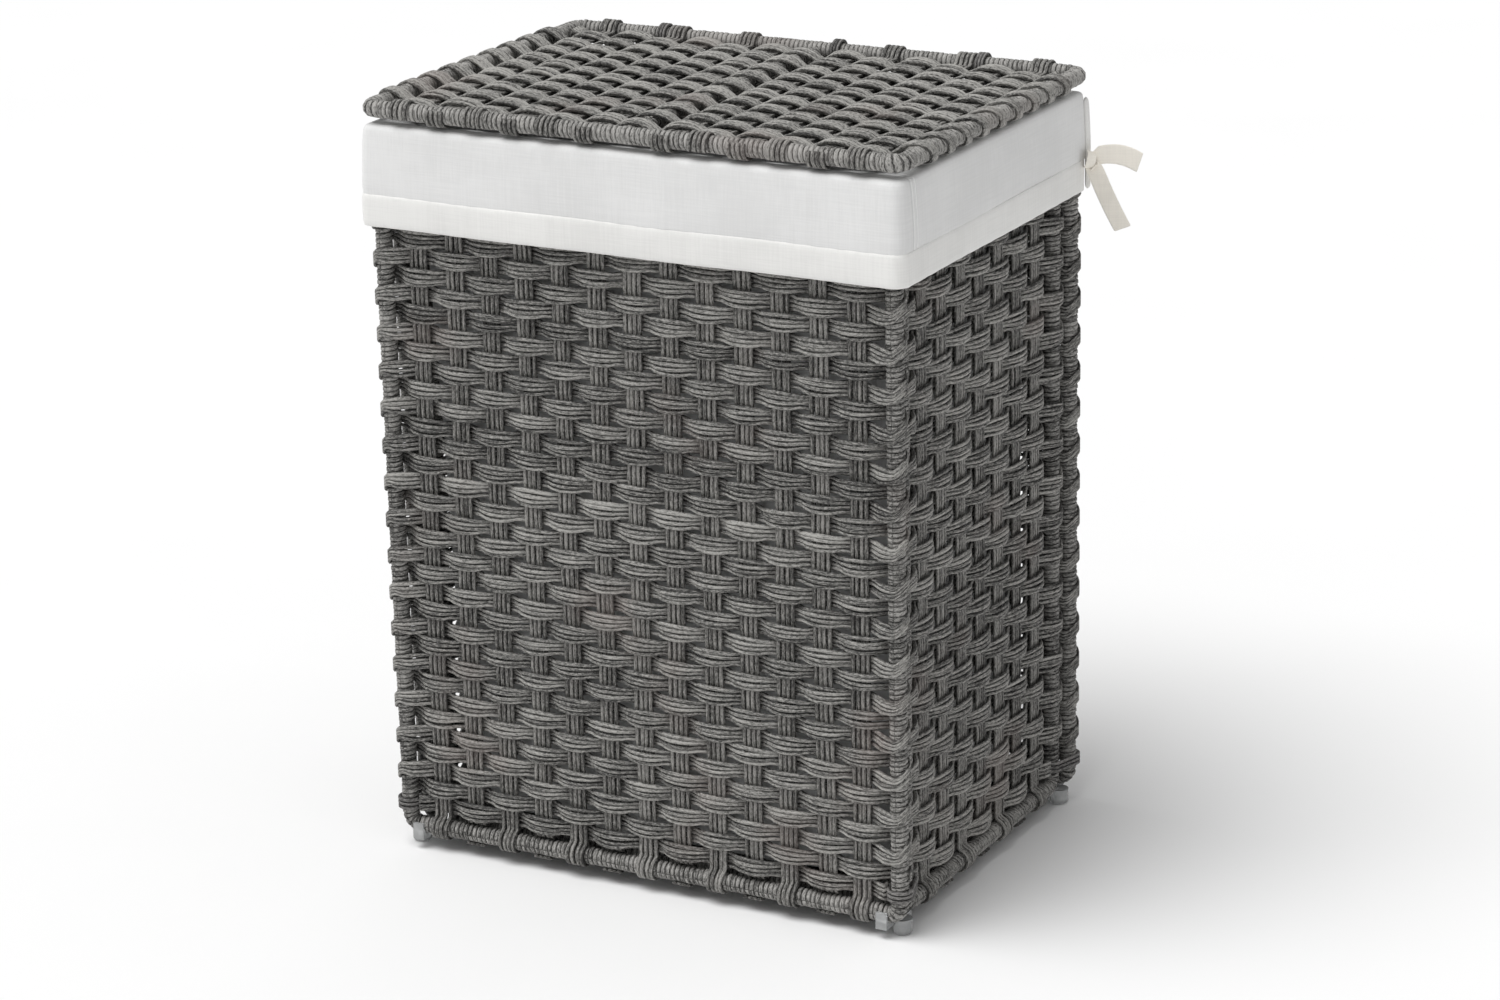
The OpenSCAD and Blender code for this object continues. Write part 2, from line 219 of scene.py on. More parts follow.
def cloth_look(name, tint, thread=0.00045, seam=None):
    """Smooth plain-woven cotton. seam is the depth at which a double seam runs up the right side."""
    k = Look(name)
    at = k.place()
    x, y, z = k.split(at)
    f = 2 * math.pi / thread
    weave = ((x * f).sin() * (z * f).sin() + (y * f).sin() * (z * f).sin()) * 0.25 + 0.5
    across = k.noise(k.join(x * 30.0, y * 30.0, z * 900.0), 1.0, 2.0)
    upright = k.noise(k.join(x * 700.0, y * 700.0, z * 20.0), 1.0, 2.0)
    slub = across * 0.5 + upright * 0.5
    cloud = k.noise(at, 14.0, 3.0)
    shade = tuple(c * 0.9 for c in tint)
    colour = k.mix((cloud * 0.5 + slub * 0.5).smooth(0.35, 0.65), shade, tint)
    height = weave * 0.25 + slub * 0.5 + cloud * 1.2
    if seam is not None:
        right = x.more(0.2)
        ridge = (1.0 - ((y - seam).abs() - RIDGE_OUT).abs().smooth(0.0004, 0.0018)) * right
        groove = (1.0 - (y - seam + LINE_OUT).abs().smooth(0.0002, 0.0007)) * right
        lit = k.mix(ridge * 0.8, colour, tuple(c * 1.12 for c in tint))
        colour = k.mix(groove * 0.35, lit, tuple(c * 0.55 for c in tint))
        height = height + ridge * 2.4 - groove * 0.8
    k.set(Base_Color=colour, Roughness=0.85 + 0.1 * slub, Sheen_Weight=0.25, Sheen_Roughness=0.5)
    k.bump(height, 0.0004, 0.6)
    return k.mat


CLOTH = cloth_look("liner cotton", (0.80, 0.80, 0.795), seam=-0.1425)
BAG = cloth_look("bag cotton", (0.76, 0.76, 0.755))
TAPE = cloth_look("casing tape", (0.845, 0.84, 0.82), 0.0006)
CREAM = cloth_look("cream ribbon", (0.95, 0.905, 0.82), 0.0006)


def steel_look():
    k = Look("painted wire")
    spots = k.noise(k.place(), 420.0, 3.0)
    k.set(Base_Color=k.ramp(spots, [(0.3, (0.02, 0.02, 0.02)), (0.75, (0.07, 0.068, 0.065))]),
          Metallic=0.2, Roughness=0.4 + 0.3 * spots)
    k.bump(spots, 0.0002, 0.5)
    return k.mat


def clear_look():
    k = Look("clear plastic")
    at = k.place()
    haze = k.noise(at, 160.0, 3.0)
    flow = k.noise(at, 45.0, 2.0)
    k.set(Base_Color=k.ramp(haze, [(0.3, (0.60, 0.61, 0.61)), (0.8, (0.78, 0.79, 0.79))]),
          Roughness=0.1 + 0.15 * haze, IOR=1.49, Transmission_Weight=0.6, Coat_Weight=0.3)
    k.bump(flow, 0.0002, 0.3)
    return k.mat


STEEL, CLEAR = steel_look(), clear_look()


# ---------------------------------------------------------------- making pieces
def finish_piece(me, name, mat, body, nodes):
    """Turns a mesh into a shown piece that takes the place of CAD nodes."""
    me.materials.append(mat)
    me.polygons.foreach_set("use_smooth", [True] * len(me.polygons))
    ob = bpy.data.objects.new(name, me)
    bpy.context.scene.collection.objects.link(ob)
    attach(ob, body)
    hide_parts(*nodes)
    return ob


ROD_GAP = 10      # between the middles of the straight tubes that strands() bends


def rods(count, steps, sides):
    """A mesh of straight tubes, made from circles drawn out step by step.
    Tube k lies at y = ROD_GAP * k, and its rings are at x = 0, 1, 2 and so on."""
    bm = bmesh.new()
    upright = Matrix.Rotation(math.pi / 2, 4, "Y")
    for k in range(count):
        bmesh.ops.create_circle(bm, segments=sides, radius=1,
                                matrix=Matrix.Translation((0, ROD_GAP * k, 0)) @ upright)
    edges = list(bm.edges)
    for _ in range(steps):
        made = bmesh.ops.extrude_edge_only(bm, edges=edges)["geom"]
        verts = [g for g in made if isinstance(g, bmesh.types.BMVert)]
        edges = [g for g in made if isinstance(g, bmesh.types.BMEdge)]
        bmesh.ops.translate(bm, verts=verts, vec=(1, 0, 0))
    bmesh.ops.recalc_face_normals(bm, faces=list(bm.faces))
    return bm


def mesh_of(bm, name):
    me = bpy.data.meshes.new(name)
    bm.to_mesh(me)
    bm.free()
    return me


def corners(me):
    """The places of a mesh's vertices."""
    co = np.zeros(len(me.vertices) * 3)
    me.vertices.foreach_get("co", co)
    return co.reshape(-1, 3)


def strands(name, P, B, a, b, tone, mat, body, nodes, sides=6):
    """Bends straight tubes along the lines P[k, i]. B[k, i] is the direction of each tube's wide side,
    and a and b are half its width and half its thickness there."""
    count, rings = P.shape[:2]
    me = mesh_of(rods(count, rings - 1, sides), name)
    co = corners(me)
    i = np.rint(co[:, 0]).astype(int)
    k = np.rint(co[:, 1] / ROD_GAP).astype(int)
    wide, high = co[:, 1] - ROD_GAP * k, co[:, 2]
    T = np.gradient(P, axis=1)
    T /= np.linalg.norm(T, axis=2, keepdims=True)
    B = B - (B * T).sum(2, keepdims=True) * T
    B = B / np.maximum(np.linalg.norm(B, axis=2, keepdims=True), 1e-9)
    N = np.cross(T, B)
    a, b = np.broadcast_to(a, P.shape[:2]), np.broadcast_to(b, P.shape[:2])
    bent = P[k, i] + (wide * a[k, i])[:, None] * B[k, i] + (high * b[k, i])[:, None] * N[k, i]
    me.vertices.foreach_set("co", bent.ravel())
    steps = np.linalg.norm(np.diff(P, axis=1), axis=2)
    length = np.concatenate([np.zeros((count, 1)), np.cumsum(steps, axis=1)], axis=1)
    along = length + (np.arange(count) * 0.377)[:, None]       # no two strands share a stretch of grain
    where = np.stack([along[k, i], wide * HALF_W + k * 0.013 % 1.0, high * HALF_T], 1)
    me.attributes.new("strand", "FLOAT_VECTOR", "POINT").data.foreach_set("vector", where.ravel())
    me.attributes.new("tone", "FLOAT", "POINT").data.foreach_set("value", np.asarray(tone)[k])
    bm = bmesh.new()
    bm.from_mesh(me)
    bmesh.ops.remove_doubles(bm, verts=list(bm.verts), dist=2e-6)
    bmesh.ops.holes_fill(bm, edges=[e for e in bm.edges if e.is_boundary], sides=0)
    bm.to_mesh(me)
    bm.free()
    me.update()
    return finish_piece(me, name, mat, body, nodes)


def wobble(rng, count, rings, knots, size):
    """Slow, even waves for each line."""
    t = np.linspace(0, 1, rings)
    out = np.zeros((count, rings))
    for f in range(1, knots + 1):
        out += rng.normal(0, 1 / math.sqrt(knots), (count, 1)) * np.sin(
            math.pi * f * t + rng.uniform(0, 6.28, (count, 1)))
    return out * size


ROW = 14.65 * MM          # height of a woven row, as near as a whole number of rows allows
ROW_GAP = 0.4 * MM


class Panel:
    """A woven panel in its own plane: u across, n out of it and v up. wr is the radius of its wound edge,
    half and h reach from post to post and from rail to rail, and o is the middle of its bottom rail."""

    def __init__(s, name, u, n, v, stakes, bar=False):
        s.name, s.u, s.n, s.v, s.stakes, s.bar = name, u, n, v, stakes, bar
        lo, hi = (np.array(c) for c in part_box("edge_" + name))
        mid, size = (lo + hi) / 2, hi - lo
        s.wr = abs(size @ n) / 2
        s.half = abs(size @ u) / 2 - s.wr
        s.h = abs(size @ v) - 2 * s.wr
        s.o = mid - v * s.h / 2
        w_lo, w_hi = (np.array(c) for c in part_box("weave_" + name))
        ends = sorted([(w_lo - s.o) @ v, (w_hi - s.o) @ v])
        s.z0 = ends[0]
        s.rows = round((ends[1] - ends[0] + ROW_GAP) / ROW)
        s.pitch = (ends[1] - ends[0] + ROW_GAP) / s.rows
        s.body = "lid" if name == "lid" else "body"
        s.gap = 2 * s.half / (stakes + 1)

    def at(s, x, n, z):
        return s.o + x[..., None] * s.u + n[..., None] * s.n + z[..., None] * s.v

    def stake_x(s, i):
        return -s.half + i * s.gap

    def is_bar(s, i):
        return s.bar and i == (s.stakes + 1) // 2


def side_of(i, r):
    return 1 if (i + r) % 2 == 0 else -1


STRANDS = 4               # in a woven row and in a stake
ROW_W, ROW_T = 1.8 * MM, 1.65 * MM       # half the width and half the thickness of a strand in a row
ROW_STEP = 3.56 * MM      # from one strand of a row to the next
LOOP_OUT = 0.95 * MM      # from the wound post to the middle of a strand that loops round it
BOW, BAR_BOW = 4.1 * MM, 6.3 * MM        # how far a row bows out at a stake and at the lid's bar
CROWN = 0.85 * MM         # how much further the two middle strands of a row stand out
TURN_STEPS = 5            # of the quarter turn round a post
SHORT = 11 * MM           # the first and last rows stop this far from the posts
TIGHT, LOOSE = 0.82, 0.22 # how close the strands lie between stakes, and how much they spread on one
FULL, POST_TIGHT = 0.96, 0.66            # the same beside a post, and on it
SLIM = 0.88               # how thin they draw between stakes


def row_line(p, per_gap):
    """One row from post to post: its places across, its bow, how far it is over a stake and on which side."""
    n = p.stakes
    amp = [p.wr + LOOP_OUT] + [BAR_BOW if p.is_bar(i) else BOW for i in range(1, n + 1)] + [p.wr + LOOP_OUT]
    u = np.linspace(0, 1, per_gap, endpoint=False)
    c = np.cos(math.pi * u)
    g = np.sign(c) * np.abs(c) ** 0.72
    gaps, last = range(n + 1), side_of(n + 1, 0)
    x = np.concatenate([p.stake_x(i) + u * p.gap for i in gaps] + [[p.half]])
    bow = np.concatenate([side_of(i, 0) * (amp[i] * (1 + g) / 2 - amp[i + 1] * (1 - g) / 2) for i in gaps]
                         + [[last * amp[-1]]])
    over = np.concatenate([np.abs(g) for i in gaps] + [[1.0]])
    side = np.concatenate([np.where(g > 0, side_of(i, 0), -side_of(i, 0)) for i in gaps] + [[last]])
    return x, bow, over, side


def turns_up(p, r):
    """Which way row r turns at its left and right posts: 1 for up, -1 for down and 0 for neither."""
    left, right = (-1, 1) if r % 2 == 1 else (1, -1)
    if r == 1:
        left = 0
    if r == p.rows - 2 and r % 2 == 0:
        left = 0
    elif r == p.rows - 2:
        right = 0
    return left, right


def weave(p, per_gap, seed, painted_light=0.0):
    """Bands of four strands, over one stake and under the next, looping round the end posts. Their tone can
    be raised as painted light, as on the lid.
    """
    rng = np.random.default_rng(seed)
    loop = p.wr + LOOP_OUT
    xs, even, over, side_here = row_line(p, per_gap)
    turn = np.linspace(0, math.pi / 2, TURN_STEPS + 1)[1:]
    lift = turn / (math.pi / 2)
    lift = lift * lift * (3 - 2 * lift)
    lines, thin, slims = [], [], []
    for r in range(p.rows):
        s = 1 if r % 2 == 0 else -1
        x, n, z = xs.copy(), even * s, np.zeros(len(xs))
        out = side_here * s * over
        short = r in (0, p.rows - 1)
        left, right = side_of(0, r), side_of(p.stakes + 1, r)
        beside = np.clip((np.abs(xs) - p.half + p.gap) / (2 * MM), 0, 1)
        close = np.maximum(TIGHT + LOOSE * over, FULL * beside)
        on_post = 1.0 if short else POST_TIGHT
        close = close * np.interp(np.abs(xs), [p.half - 9 * MM, p.half - 1 * MM], [1.0, on_post])
        if short:
            stop = p.half - SHORT
            x = np.where(np.abs(x) > stop, np.sign(x) * (stop + (np.abs(x) - stop) * 0.05), x)
            n = n * np.clip((p.half - np.abs(xs)) / (16 * MM), 0, 1)
            xl = np.full(TURN_STEPS, x[0]) - lift[::-1] * 0.3 * MM
            xr = np.full(TURN_STEPS, x[-1]) + lift * 0.3 * MM
            nl = nr = zl = zr = np.zeros(TURN_STEPS)
        else:
            up_l, up_r = turns_up(p, r)
            xl = -p.half - loop * np.sin(turn[::-1])
            nl = left * loop * np.cos(turn[::-1])
            zl = up_l * p.pitch / 2 * lift[::-1]
            xr = p.half + loop * np.sin(turn)
            nr = right * loop * np.cos(turn)
            zr = up_r * p.pitch / 2 * lift
        x, n, z = (np.concatenate(parts) for parts in ((xl, x, xr), (nl, n, nr), (zl, z, zr)))
        out = np.concatenate([np.full(TURN_STEPS, left), out, np.full(TURN_STEPS, right)])
        close = np.concatenate([np.full(TURN_STEPS, close[0]), close, np.full(TURN_STEPS, close[-1])])
        flat = 0.9 if short else 0.6
        thin.append(np.concatenate([np.linspace(flat, 0.9, TURN_STEPS), np.ones(len(xs)),
                                    np.linspace(0.9, flat, TURN_STEPS)]))
        slims.append(SLIM + (1 - SLIM) * (close - TIGHT) / LOOSE)
        zc = p.z0 + (r + 0.5) * p.pitch
        free = np.concatenate([np.zeros(TURN_STEPS + 1), np.ones(len(xs) - 2), np.zeros(TURN_STEPS + 1)])
        edge = np.minimum(1, np.convolve(free, np.ones(5) / 5, "same")) * free
        row_wave = wobble(rng, 1, len(x), 6, 0.6 * MM)[0] * edge
        drift = rng.normal(0, 0.25 * MM) * edge
        for q in range(STRANDS):
            f = q - (STRANDS - 1) / 2
            wz = wobble(rng, 1, len(x), 18, 0.45 * MM)[0] * edge
            wn = wobble(rng, 1, len(x), 14, 0.25 * MM)[0] * edge
            crown = CROWN * (1 - (f / 1.5) ** 2) * out * free
            lines.append(p.at(x, n + wn + crown, zc + z + f * ROW_STEP * close + wz + row_wave + drift))
    P = np.array(lines)
    count = len(P)
    thin, slims = (np.repeat(q, STRANDS, axis=0) for q in (thin, slims))
    a = ROW_W * (1 + rng.normal(0, 0.05, (count, 1))) * slims
    for end in (0, -1):
        a[:, end] = ROW_W * slims[:, end]
    # on the lid every strand's tone is raised: painted light from above
    tone = rng.normal(0.5 + painted_light, 0.28, count)
    tone = np.clip(tone + np.repeat(rng.normal(0, 0.09, count // STRANDS), STRANDS), 0, 1.2)
    strands("woven_rows_" + p.name, P, np.broadcast_to(p.v, P.shape), a, ROW_T * thin, tone, WEAVE, p.body,
            ["weave_" + p.name])


STAKE_W, STAKE_T = 1.88 * MM, 1.25 * MM  # half the width and half the thickness of a strand in a stake
STAKE_STEP = 3.95 * MM
HOOK_OUT, LID_HOOK_OUT = 1.3 * MM, 1.0 * MM      # from the wound rail to the middle of a strand round it


def stakes(p, hook_top, seed):
    """Upright bundles of four strands that wrap round the rail, in front or behind by turns."""
    rng = np.random.default_rng(seed)
    ring = p.wr + (LID_HOOK_OUT if p.name == "lid" else HOOK_OUT)
    turn = np.radians(np.linspace(72, -126, 10))
    lines = []
    for i in range(1, p.stakes + 1):
        if p.is_bar(i):
            continue
        s = 1 if i % 2 == 1 else -1
        hook_n, hook_z = s * ring * np.cos(turn), ring * np.sin(turn)
        half_rows = [(r, f) for r in range(p.rows) for f in (0.25, 0.75)]
        zz = np.array([p.z0 + (r + f) * p.pitch for r, f in half_rows])
        nn = np.array([-0.45 * MM * side_of(i, r) for r, f in half_rows])     # each row pushes the stake away
        low_z = np.concatenate([hook_z[::-1], [ring + 0.9 * MM, ring + 2.2 * MM]])
        low_n = np.concatenate([hook_n[::-1], [s * 1.0 * MM, s * 0.3 * MM]])
        if hook_top:
            top_z, top_n = p.h - low_z[::-1], low_n[::-1]
        else:
            top_z, top_n = np.array([p.h - p.wr - 2 * MM, p.h - p.wr + 1.5 * MM]), np.zeros(2)
        z, n = np.concatenate([low_z, zz, top_z]), np.concatenate([low_n, nn, top_n])
        lean = wobble(rng, 1, len(z), 3, 0.5 * MM)[0]
        for q in range(STRANDS):
            f = q - (STRANDS - 1) / 2
            wx = wobble(rng, 1, len(z), 12, 0.38 * MM)[0]
            wn = wobble(rng, 1, len(z), 9, 0.12 * MM)[0]
            x = np.full(len(z), p.stake_x(i) + f * STAKE_STEP) + wx + lean
            lines.append(p.at(x, n + wn * 0.5, z))
    P = np.array(lines)
    B = np.broadcast_to(p.u, P.shape)
    tone = np.clip(rng.normal(0.45, 0.25, len(P)), 0, 1)
    strands("stakes_" + p.name + "_strands", P, B, STAKE_W, STAKE_T, tone, STAKE, p.body,
            ["stakes_" + p.name])


WOUND_T = 1.25 * MM       # half the thickness of a wound strand
PER_TURN = 10             # points of a turn
EDGE_PITCH, BAR_PITCH = 4.0 * MM, 3.6 * MM
BAR_R = 4.5 * MM
BEND = 9 * MM             # of the wire at a panel's corners


def winding(name, line, tangent, radial1, radial2, radius, pitch, body, nodes, seed, closed, painted_light=0.0):
    """A strand wound in close turns round a line, with three turns at a time in one tone. The tone can be
    raised as painted light, as on the lid's rim.
    """
    rng = np.random.default_rng(seed)
    seg = np.linalg.norm(np.diff(line, axis=0), axis=1)
    along = np.concatenate([[0], np.cumsum(seg)])
    turns = int(round(along[-1] / pitch))
    t = np.linspace(0, turns, turns * PER_TURN + 1)
    s = t / turns * along[-1]

    def get(values):
        return np.stack([np.interp(s, along, values[:, c]) for c in range(3)], 1)
    mid, tan, e1, e2 = get(line), get(tangent), get(radial1), get(radial2)
    swell = np.interp(t, np.arange(turns + 1), rng.normal(0, 0.16 * MM, turns + 1))
    if closed:
        swell *= np.minimum(1, np.minimum(t, turns - t))
    ang = 2 * math.pi * t
    rad = radius - WOUND_T + swell
    pts = mid + (rad * np.cos(ang))[:, None] * e1 + (rad * np.sin(ang))[:, None] * e2
    rows = np.arange(turns)[:, None] * PER_TURN + np.arange(PER_TURN + 1)[None, :]
    P, B = pts[rows], tan[rows]
    wide = 0.53 * np.linalg.norm(np.gradient(P, axis=0), axis=2)     # just over half a turn, so turns touch
    # on the lid's rim the tone is raised: painted light from above
    tone = np.repeat(np.clip(rng.normal(0.5 + painted_light, 0.22, turns // 3 + 1), 0, 1.3), 3)[:turns]
    strands(name, P, B, wide, WOUND_T, tone, WOUND, body, nodes)


def edge_line(p, bend):
    """The middle line of a panel's wire: a rectangle with bent corners."""
    h, w = p.h, p.half
    pts, tan = [], []
    bends = ((w - bend, bend, -90), (w - bend, h - bend, 0), (bend - w, h - bend, 90), (bend - w, bend, 180))
    for cx, cz, start in bends:
        for a in np.radians(np.linspace(start, start + 90, 9)):
            pts.append((cx + bend * math.cos(a), cz + bend * math.sin(a)))
            tan.append((-math.sin(a), math.cos(a)))
    pts.append(pts[0])
    tan.append(tan[0])
    pts, tan = np.array(pts), np.array(tan)
    line = p.at(pts[:, 0], np.zeros(len(pts)), pts[:, 1])
    T = tan[:, :1] * p.u + tan[:, 1:] * p.v
    e1 = np.broadcast_to(p.n, line.shape)
    return line, T, e1, np.cross(T, e1)


def wound_edge(p, seed):
    # the lid's rim is painted lighter (0.5): painted light from above
    winding("wound_edge_" + p.name, *edge_line(p, BEND), p.wr, EDGE_PITCH, p.body, ["edge_" + p.name], seed,
            True, 0.5 if p.name == "lid" else 0.0)


PANELS = [Panel("front", -X, -Y, Z, 13), Panel("back", X, Y, Z, 13), Panel("right", -Y, X, Z, 7),
          Panel("left", Y, -X, Z, 7), Panel("base", X, Z, -Y, 11), Panel("lid", X, Z, -Y, 13, bar=True)]
for i, panel in enumerate(PANELS):
    # the lid's weave is painted lighter (0.32): painted light from above
    weave(panel, 6 if panel.name != "base" else 4, 10 + i, 0.32 if panel.name == "lid" else 0.0)
    stakes(panel, panel.name in ("base", "lid"), 30 + i)
    wound_edge(panel, 50 + i)


def lid_bar(p):
    z = np.linspace(p.wr, p.h - p.wr, 40)
    line = p.at(np.zeros_like(z), np.zeros_like(z), z)
    T, e1, e2 = (np.broadcast_to(v, line.shape) for v in (p.v, p.n, np.cross(p.v, p.n)))
    winding("wound_bar", line, T, e1, e2, BAR_R, BAR_PITCH, "lid", ["lid_bar_wrap"], 77, False)


lid_bar(PANELS[5])


# ---------------------------------------------------------------- ties and lid loops
def long_loop(c1, c2, r, steps=40):
    """Points of a long round loop about two centres, in a plane."""
    d = (c2 - c1) / np.linalg.norm(c2 - c1)
    a0 = math.atan2(d[1], d[0])
    half_turn = np.linspace(-math.pi / 2, math.pi / 2, 15)
    pts = []
    for c, start in ((c2, a0), (c1, a0 + math.pi)):
        pts += [c + r * np.array([math.cos(start + a), math.sin(start + a)]) for a in half_turn]
    pts.append(pts[0])
    pts = np.array(pts)
    along = np.concatenate([[0], np.cumsum(np.linalg.norm(np.diff(pts, axis=0), axis=1))])
    s = np.linspace(0, along[-1], steps + 1)
    return np.stack([np.interp(s, along, pts[:, c]) for c in range(2)], 1)


def tie_piece(name, node, loops, wide, a, b, seed):
    rng = np.random.default_rng(seed)
    P = np.array(loops)
    strands(name, P, np.broadcast_to(wide, P.shape), a, b, np.clip(rng.normal(0.5, 0.2, len(P)), 0, 1),
            TIE, "body", [node])


front, back, right, left = PANELS[:4]
for sy, pf in ((-1, front), (1, back)):
    for sx, ps in ((-1, left), (1, right)):
        node = "corner_ties_%s_%s" % ("front" if sy < 0 else "back", "left" if sx < 0 else "right")
        lo, hi = (np.array(c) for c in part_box(node))
        c1 = np.array([sx * pf.half, pf.o[1]])
        c2 = np.array([ps.o[0], sy * ps.half])
        ring = long_loop(c1, c2, pf.wr + 1.75 * MM)
        heights = [z0 + dz * MM for z0 in (lo[2], hi[2] - 10 * MM) for dz in (1.7, 5.0, 8.3)]
        loops = [np.column_stack([ring, np.full(len(ring), z)]) for z in heights]
        tie_piece("tie_strands_" + node[13:], node, loops, Z, 1.6 * MM, 1.4 * MM, 90 + sx + 2 * sy)
lid = PANELS[5]
for j, node in enumerate(("lid_loop_left", "lid_loop_middle", "lid_loop_right")):
    lo, hi = (np.array(c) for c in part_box(node))
    c1, c2 = np.array([back.o[1], back.o[2] + back.h + 0.3 * MM]), np.array([lid.o[1], lid.o[2]])
    ring = long_loop(c1, c2, lid.wr + 1.85 * MM)
    loops = [np.column_stack([np.full(len(ring), x), ring]) for x in lo[0] + np.array([1.45, 4.0, 6.55]) * MM]
    tie_piece(node + "_strands", node, loops, X, 1.26 * MM, 1.4 * MM, 100 + j)


# ---------------------------------------------------------------- liner
def grid(name, nu, nv, place, closed=False):
    """A flat grid bent by place(u, v), with u and v from 0 to 1. closed joins the edges that then meet."""
    bm = bmesh.new()
    bmesh.ops.create_grid(bm, x_segments=nu, y_segments=nv, size=0.5)
    me = mesh_of(bm, name)
    flat = corners(me)
    me.vertices.foreach_set("co", place(flat[:, 0] + 0.5, flat[:, 1] + 0.5).ravel())
    bm = bmesh.new()
    bm.from_mesh(me)
    if closed:
        bmesh.ops.remove_doubles(bm, verts=list(bm.verts), dist=1e-5)
    bmesh.ops.recalc_face_normals(bm, faces=list(bm.faces))
    bm.to_mesh(me)
    bm.free()
    return me


def round_box(t, hx, hy, r, y_end):
    """A point at t (0 to 1) along a line from the back of the left side, round the front, to the back of the
    right side, with its outward direction. t is shared out so that corners keep their places."""
    side, arc, front = 0.24, 0.04, 0.44
    knots = np.cumsum([0, side, arc, front, arc, side])
    px, py, nx, ny = (np.zeros_like(t) for _ in range(4))
    part = np.clip(np.searchsorted(knots, t, "right") - 1, 0, 4)
    share = (t - knots[part]) / (knots[part + 1] - knots[part])
    for j in range(5):
        m = part == j
        q = share[m]
        HX, HY, R, YE = (np.broadcast_to(v, t.shape)[m] for v in (hx, hy, r, y_end))
        if j == 0:
            px[m], py[m], nx[m] = -HX, YE + (R - HY - YE) * q, -1
        elif j == 2:
            px[m], py[m], ny[m] = (HX - R) * (2 * q - 1), -HY, -1
        elif j == 4:
            px[m], py[m], nx[m] = HX, R - HY + (YE - R + HY) * q, 1
        else:
            a = math.pi / 2 * (q + (2 if j == 1 else 3))
            middle = R - HX if j == 1 else HX - R
            px[m], py[m], nx[m], ny[m] = middle + R * np.cos(a), R - HY + R * np.sin(a), np.cos(a), np.sin(a)
    return px, py, nx, ny


C_LO, C_HI = (np.array(c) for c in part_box("liner_cuff"))
H_LO, H_HI = (np.array(c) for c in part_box("liner_hem"))
G_LO, G_HI = (np.array(c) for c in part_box("liner_bag"))
CX, CY, Y_END, TOP = C_HI[0], -C_LO[1], C_HI[1], C_HI[2]
RNG = np.random.default_rng(7)
WAVES = [(RNG.uniform(2, 9), RNG.uniform(0, 6.28), RNG.normal(0, 1)) for _ in range(7)]


def ripple(t, size):
    """Long uneven waves."""
    return size * sum(w * np.sin(2 * math.pi * f * t + p) for f, p, w in WAVES) / 3


# how far the outside of the cuff stands out, from its fold over the rails down to the casing
DROP = np.array([0.0006, 0.0036, 0.0140, 0.0260, 0.0370, 0.0465]) + 0.0003
STAND = np.array([-0.0040, -0.0021, -0.0013, -0.0006, -0.0001, 0.0001])


def cuff_place(u, v):
    # stations from the bag's mouth, over the rails and down the outside
    st = np.array([0, 0.06, 0.2, 0.36, 0.43, 0.48, 0.56, 0.66, 0.78, 0.9, 1.0])
    hx = np.concatenate([G_HI[0] + np.array([-0.001, 0.001, 0.012]), [CX - 0.013], CX + STAND, [CX - 0.0002]])
    hy = np.concatenate([G_HI[1] + np.array([-0.001, 0.001, 0.008]), [CY - 0.012], CY + STAND, [CY - 0.0002]])
    zz = np.concatenate([TOP - np.array([0.0085, 0.0022, 0.0004, 0.0002]), TOP - DROP, [C_LO[2] - 0.0008]])
    rr = np.array([20, 20, 20, 14, 9, 9, 9, 9.5, 10, 10, 10]) * MM
    inside, outside = G_HI[1] - np.array([0.004, 0.003, 0]), Y_END - np.array([0.004, 0.001] + [0] * 6)
    ye = np.concatenate([inside, outside])
    hx, hy, zz, rr, ye = (np.interp(v, st, q) for q in (hx, hy, zz, rr, ye))
    px, py, nx, ny = round_box(u, hx, hy, rr, ye)
    loose = np.interp(v, [0, 0.4, 0.7, 1.0], [0, 0.1, 1.0, 0.35])
    w = ripple(u, 0.0011) * loose
    return np.stack([px + nx * w, py + ny * w, zz + ripple(u + 0.3, 0.0004) * (v > 0.3)], 1)


def solid_cloth(ob, thick):
    m = ob.modifiers.new("thickness", "SOLIDIFY")
    m.thickness, m.offset = thick, -1
    m = ob.modifiers.new("round", "SUBSURF")
    m.levels = m.render_levels = 1


cuff_mesh = grid("cuff_cloth", 200, 34, cuff_place)
cuff = finish_piece(cuff_mesh, "cuff_cloth", CLOTH, "body", ["liner_cuff"])
solid_cloth(cuff, 0.0009)


def hem_place(u, v):
    a = 2 * math.pi * v
    h = (H_HI[2] - H_LO[2]) / 2
    zc = H_LO[2] + h + 0.0002
    ca, sa = np.cos(a), np.sin(a)
    dz = np.sign(sa) * np.abs(sa) ** 0.55 * h
    shut = np.sqrt(np.maximum(0, 1 - np.abs(2 * u - 1) ** 200))          # stitched flat at both ends
    dn = np.sign(ca) * np.abs(ca) ** 0.8 * 0.0017 * shut
    px, py, nx, ny = round_box(u, CX - 0.0006, CY - 0.0006, 10 * MM, Y_END)
    w = ripple(u, 0.0009) + dn + 0.0003 * np.sin(2 * math.pi * u * 55 + 2 * dz / h)
    return np.stack([px + nx * w, py + ny * w, zc + dz + ripple(u + 0.3, 0.0005)], 1)


hem_mesh = grid("casing_cloth", 200, 20, hem_place, True)
hem = finish_piece(hem_mesh, "casing_cloth", TAPE, "body", ["liner_hem"])
solid_cloth(hem, 0.0006)


